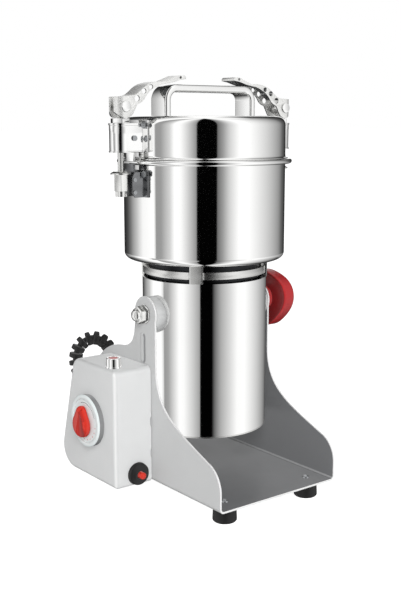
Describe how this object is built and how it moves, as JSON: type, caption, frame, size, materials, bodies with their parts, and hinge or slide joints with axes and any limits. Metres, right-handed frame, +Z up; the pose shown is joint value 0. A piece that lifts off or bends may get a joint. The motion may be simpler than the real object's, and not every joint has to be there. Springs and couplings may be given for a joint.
{
  "type": "electric grain mill",
  "caption": "Tilting electric grain mill: polished chamber with clamped lid on a motor tube, U-shaped base with side control box.",
  "frame": {"origin": "on the table under the middle of the whole machine", "axes": "+Z up, -Y the open front of the base, +X towards the lock knob"},
  "size_m": [0.2469, 0.2252, 0.4225],
  "materials": {
    "stainless_polished": "mirror-polished stainless sheet",
    "stainless_brushed": "brushed stainless",
    "stainless_cast": "tumbled bright stainless",
    "base_enamel": "silver metallic paint, fine texture",
    "box_enamel": "silver metallic paint, fine texture",
    "zinc_screws": "zinc plated",
    "rubber_black": "matte",
    "plastic_black": "moulded",
    "sleeve_black": "ribbed nylon",
    "plastic_red": "moulded gloss",
    "knob_red": "moulded gloss",
    "lens_red": "clear red lens",
    "dial_silver": "satin disc with printed scale",
    "ceramic_white": "moulded insulating plastic",
    "lamination_steel": "stacked laminations",
    "copper_winding": "enamelled copper wire",
    "carbon": "pressed carbon",
    "bronze": "sintered bronze",
    "aluminium_cast": "die cast",
    "silicone": "translucent silicone",
    "bracket_dark": "mill finish sheet"
  },
  "bodies": {
    "base": {"base_frame": "base_enamel", "feet": "rubber_black", "foot_screws": "zinc_screws", "box_shell": "box_enamel", "box_screws": "zinc_screws", "timer_body": "ceramic_white", "dial_plate": "dial_silver", "breaker_body": "plastic_black", "reset_collar": "plastic_black", "lamp_bezel": "stainless_polished", "lamp_lens": "lens_red", "terminal_block": "ceramic_white", "cable_glands": "plastic_black", "motor_lead": "sleeve_black", "pivot_bolt": "stainless_cast"},
    "timer": {"timer_knob": "plastic_red"},
    "reset": {"reset_button": "plastic_red"},
    "mill": {"motor_tube": "stainless_polished", "neck_ring": "stainless_brushed", "tube_cover": "stainless_brushed", "cover_screws": "zinc_screws", "saddles": "stainless_brushed", "bowl": "stainless_polished", "shaft_seal": "bronze", "stator_core": "lamination_steel", "field_coils": "copper_winding", "motor_bracket_top": "aluminium_cast", "motor_bracket_bottom": "aluminium_cast", "bearings": "stainless_polished", "brush_holders": "plastic_black", "carbon_brushes": "carbon", "lead_grommet": "rubber_black", "hook_brackets": "bracket_dark", "bracket_bolts": "zinc_screws"},
    "lock": {"lock_knob": "knob_red", "lock_stud": "zinc_screws"},
    "rotor": {"rotor_shaft": "stainless_brushed", "rotor_core": "lamination_steel", "commutator": "copper_winding", "cooling_fan": "plastic_black", "blade_long": "stainless_brushed", "blade_bent": "stainless_brushed", "blade_spacer": "stainless_brushed", "blade_nut": "stainless_cast"},
    "lid": {"lid_shell": "stainless_polished", "lid_plate": "stainless_brushed", "lid_gasket": "silicone", "handle": "stainless_polished", "clamp_housings": "stainless_polished", "clamp_bolts": "zinc_screws", "cam_nuts": "stainless_cast"},
    "rod_left_assembly": {"rod_left": "stainless_brushed", "latch_nut_left": "stainless_cast", "lever_pin_left": "stainless_cast"},
    "lever_left_assembly": {"lever_left": "stainless_cast"},
    "rod_right_assembly": {"rod_right": "stainless_brushed", "latch_nut_right": "stainless_cast", "lever_pin_right": "stainless_cast"},
    "lever_right_assembly": {"lever_right": "stainless_cast"}
  },
  "joints": [
    {"name": "mill_tilt", "type": "hinge", "parent": "base", "child": "mill", "pos_m": [0.01115, 0.00825, 0.1895], "axis": [1, 0, 0], "range_deg": [0, 120], "deforming": ["motor_lead"]},
    {"name": "timer_turn", "type": "hinge", "parent": "base", "child": "timer", "pos_m": [-0.10785, 0.04405, 0.0796], "axis": [1, 0, 0], "range_deg": [0, 300]},
    {"name": "reset_push", "type": "slide", "parent": "base", "child": "reset", "axis": [0, 1, 0], "range_m": [0, 0.002], "stiffness_N_per_m": 600},
    {"name": "lock_turn", "type": "hinge", "parent": "mill", "child": "lock", "pos_m": [0.09315, 0.00825, 0.1895], "axis": [1, 0, 0], "range_deg": [0, 360]},
    {"name": "rotor_spin", "type": "hinge", "parent": "mill", "child": "rotor", "pos_m": [0.01115, 0.00825, 0.15], "axis": [0, 0, 1], "continuous": true},
    {"name": "lid_lift", "type": "slide", "parent": "mill", "child": "lid", "axis": [0, 0, 1], "range_m": [0, 0.1]},
    {"name": "rod_left_swing", "type": "hinge", "parent": "lid", "child": "rod_left_assembly", "pos_m": [-0.08985, 0.00825, 0.379], "axis": [0, 1, 0], "range_deg": [0, 8]},
    {"name": "lever_left_open", "type": "hinge", "parent": "rod_left_assembly", "child": "lever_left_assembly", "pos_m": [-0.08985, 0.00825, 0.3925], "axis": [0, -1, 0], "range_deg": [0, 90]},
    {"name": "rod_right_swing", "type": "hinge", "parent": "lid", "child": "rod_right_assembly", "pos_m": [0.11215, 0.00825, 0.379], "axis": [0, -1, 0], "range_deg": [0, 8]},
    {"name": "lever_right_open", "type": "hinge", "parent": "rod_right_assembly", "child": "lever_right_assembly", "pos_m": [0.11215, 0.00825, 0.3925], "axis": [0, 1, 0], "range_deg": [0, 90]}
  ],
  "couplings": [
    {"joint": "rod_left_swing", "follows": "lever_left_open", "ratio": 0.0888},
    {"joint": "rod_right_swing", "follows": "lever_right_open", "ratio": 0.0888}
  ]
}
